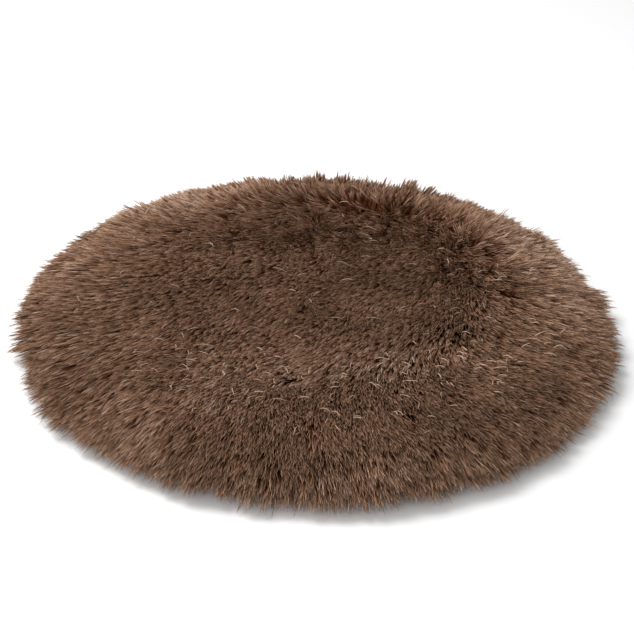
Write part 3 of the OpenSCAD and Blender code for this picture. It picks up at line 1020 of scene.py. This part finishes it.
def surface_material(name, kind, pitch, dark, light, rough, bump, sheen=0.0, metallic=0.0, blotch=0.03):
    """A surface whose colour, roughness and relief follow a fine pattern and a broad, uneven tint."""
    material, tree, shader = new_material(name)
    place = add_node(tree, "TexCoord").outputs["Object"]
    relief = pattern(tree, place, kind, pitch)
    broad = noise_node(tree, place, blotch)
    mixed = math_node(tree, "ADD", math_node(tree, "MULTIPLY", relief, 0.6),
                      math_node(tree, "MULTIPLY", broad, 0.4))
    tree.links.new(ramp_node(tree, mixed, [(0.15, dark), (0.85, light)]), shader.inputs["Base Color"])
    gloss = add_node(tree, "MapRange", {"Value": broad, "To Min": rough[0], "To Max": rough[1]})
    tree.links.new(gloss.outputs["Result"], shader.inputs["Roughness"])
    dent = add_node(tree, "Bump", {"Strength": bump, "Distance": pitch * 0.35, "Height": relief})
    tree.links.new(dent.outputs["Normal"], shader.inputs["Normal"])
    shader.inputs["Sheen Weight"].default_value = sheen
    shader.inputs["Metallic"].default_value = metallic
    return material


def backing_cloth():
    return surface_material("backing_knit", "knit", pitch=0.0016, dark=(0.030, 0.013, 0.008),
                            light=(0.075, 0.036, 0.022), rough=(0.85, 1.0), bump=0.6, sheen=0.1)


def base_cloth():
    return surface_material("base_twill", "twill", pitch=0.0011, dark=(0.018, 0.012, 0.009),
                            light=(0.055, 0.038, 0.028), rough=(0.7, 0.9), bump=0.7, sheen=0.15)


def dark_thread():
    return surface_material("dark_thread", "thread", pitch=0.0007, dark=(0.012, 0.007, 0.005),
                            light=(0.040, 0.024, 0.016), rough=(0.5, 0.7), bump=0.5)


def light_thread():
    return surface_material("light_thread", "thread", pitch=0.0007, dark=(0.62, 0.61, 0.58),
                            light=(0.85, 0.84, 0.81), rough=(0.5, 0.7), bump=0.5)


def label_satin():
    return surface_material("label_satin", "plain", pitch=0.0006, dark=(0.66, 0.64, 0.59),
                            light=(0.84, 0.82, 0.78), rough=(0.3, 0.45), bump=0.4, sheen=0.3)


def grip_rubber():
    return surface_material("grip_rubber", "noise", pitch=0.0015, dark=(0.010, 0.009, 0.008),
                            light=(0.028, 0.025, 0.022), rough=(0.4, 0.6), bump=0.25)


def tape_weave():
    return surface_material("zip_tape_weave", "twill", pitch=0.0008, dark=(0.030, 0.015, 0.010),
                            light=(0.085, 0.045, 0.029), rough=(0.65, 0.85), bump=0.8, sheen=0.1)


def coil_nylon():
    return surface_material("coil_nylon", "noise", pitch=0.004, dark=(0.028, 0.013, 0.008),
                            light=(0.055, 0.028, 0.018), rough=(0.22, 0.38), bump=0.05)


def zip_metal():
    return surface_material("zip_metal", "noise", pitch=0.0012, dark=(0.085, 0.062, 0.040),
                            light=(0.42, 0.33, 0.23), rough=(0.28, 0.5), bump=0.12,
                            metallic=1.0, blotch=0.004)


def liner_cloth():
    return surface_material("liner_nonwoven", "dimpled", pitch=0.0014, dark=(0.60, 0.60, 0.58),
                            light=(0.83, 0.83, 0.81), rough=(0.75, 0.9), bump=0.5)


def loose_fibre():
    return surface_material("loose_fibre", "noise", pitch=0.003, dark=(0.66, 0.66, 0.65),
                            light=(0.90, 0.90, 0.89), rough=(0.85, 1.0), bump=0.9, sheen=0.3)


def dress_cad_node(node, material):
    """Give a carried-over CAD node a finished material in place of its plain one."""
    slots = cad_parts[node].data.materials
    slots.clear()
    slots.append(material)


# ---------------------------------------------------------------- stage

def add_area(name, place, size, power):
    light = bpy.data.lights.new(name, "AREA")
    light.shape = "DISK"
    light.size = size
    light.energy = power
    obj = new_object(name, light)
    obj.location = place
    obj.rotation_euler = (Vector(LIT_POINT) - Vector(place)).to_track_quat("-Z", "Y").to_euler()


def build_stage():
    bpy.ops.mesh.primitive_plane_add(size=FLOOR_SIZE)
    floor = bpy.context.object
    floor.name = "floor"
    material, _, shader = new_material("floor")
    shader.inputs["Base Color"].default_value = (*FLOOR_GREY, 1)
    shader.inputs["Roughness"].default_value = 0.9
    floor.data.materials.append(material)
    world = bpy.data.worlds.new("studio")
    world.use_nodes = True
    background = world.node_tree.nodes["Background"].inputs
    background["Color"].default_value = (1, 1, 1, 1)
    background["Strength"].default_value = WORLD_LIGHT
    bpy.context.scene.world = world
    add_area("key", KEY_PLACE, KEY_SIZE, KEY_POWER)
    add_area("fill", FILL_PLACE, FILL_SIZE, FILL_POWER)


def build_camera():
    camera = bpy.data.cameras.new("camera")
    camera.lens = CAMERA_LENS
    camera.sensor_width = 36
    obj = new_object("camera", camera)
    away = Vector((0, -math.cos(CAMERA_ELEVATION), math.sin(CAMERA_ELEVATION)))
    obj.location = CAMERA_TARGET + away * CAMERA_DISTANCE
    roll = Quaternion((0, 0, 1), CAMERA_ROLL)
    obj.rotation_euler = ((-away).to_track_quat("-Z", "Y") @ roll).to_euler()
    bpy.context.scene.camera = obj
    bpy.context.scene.view_settings.view_transform = "Standard"


build_camera()
build_stage()
fur = fur_material()
grow_pile(fur)
grow_strays(fur)
make_backing(backing_cloth())
twill = base_cloth()
make_base_panel("base_front_cloth", -1, twill, "base_panel_front")
make_base_panel("base_rear_cloth", 1, twill, "base_panel_rear")
sewing = dark_thread()
make_edge_thread("edge_seam_plies", 0.00028, sewing, "dark_thread", "edge_seam_thread")
make_care_label(label_satin())
make_grip_dots(grip_rubber())
tape = tape_weave()
make_zip_tape("zip_tape_front_woven", -1, tape, "zip_tape_front")
make_zip_tape("zip_tape_rear_woven", 1, tape, "zip_tape_rear")
nylon = coil_nylon()
make_zip_coil("zip_coil_front_helix", nylon, "zip_coil_front", 0.0)
make_zip_coil("zip_coil_rear_helix", nylon, "zip_coil_rear", math.pi)
metal = zip_metal()
make_top_stops(metal)
make_stop("zip_bottom_stop_clip", [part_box("zip_bottom_stop")], metal, "zip_bottom_stop")
dress_cad_node("zip_slider", metal)
dress_cad_node("zip_pull", metal)
make_stitching(sewing)
make_bar_tacks(sewing)
make_pad(liner_cloth())
white = light_thread()
make_edge_thread("liner_seam_plies", 0.00025, white, "light_thread", "liner_seam_thread")
make_fill(loose_fibre())
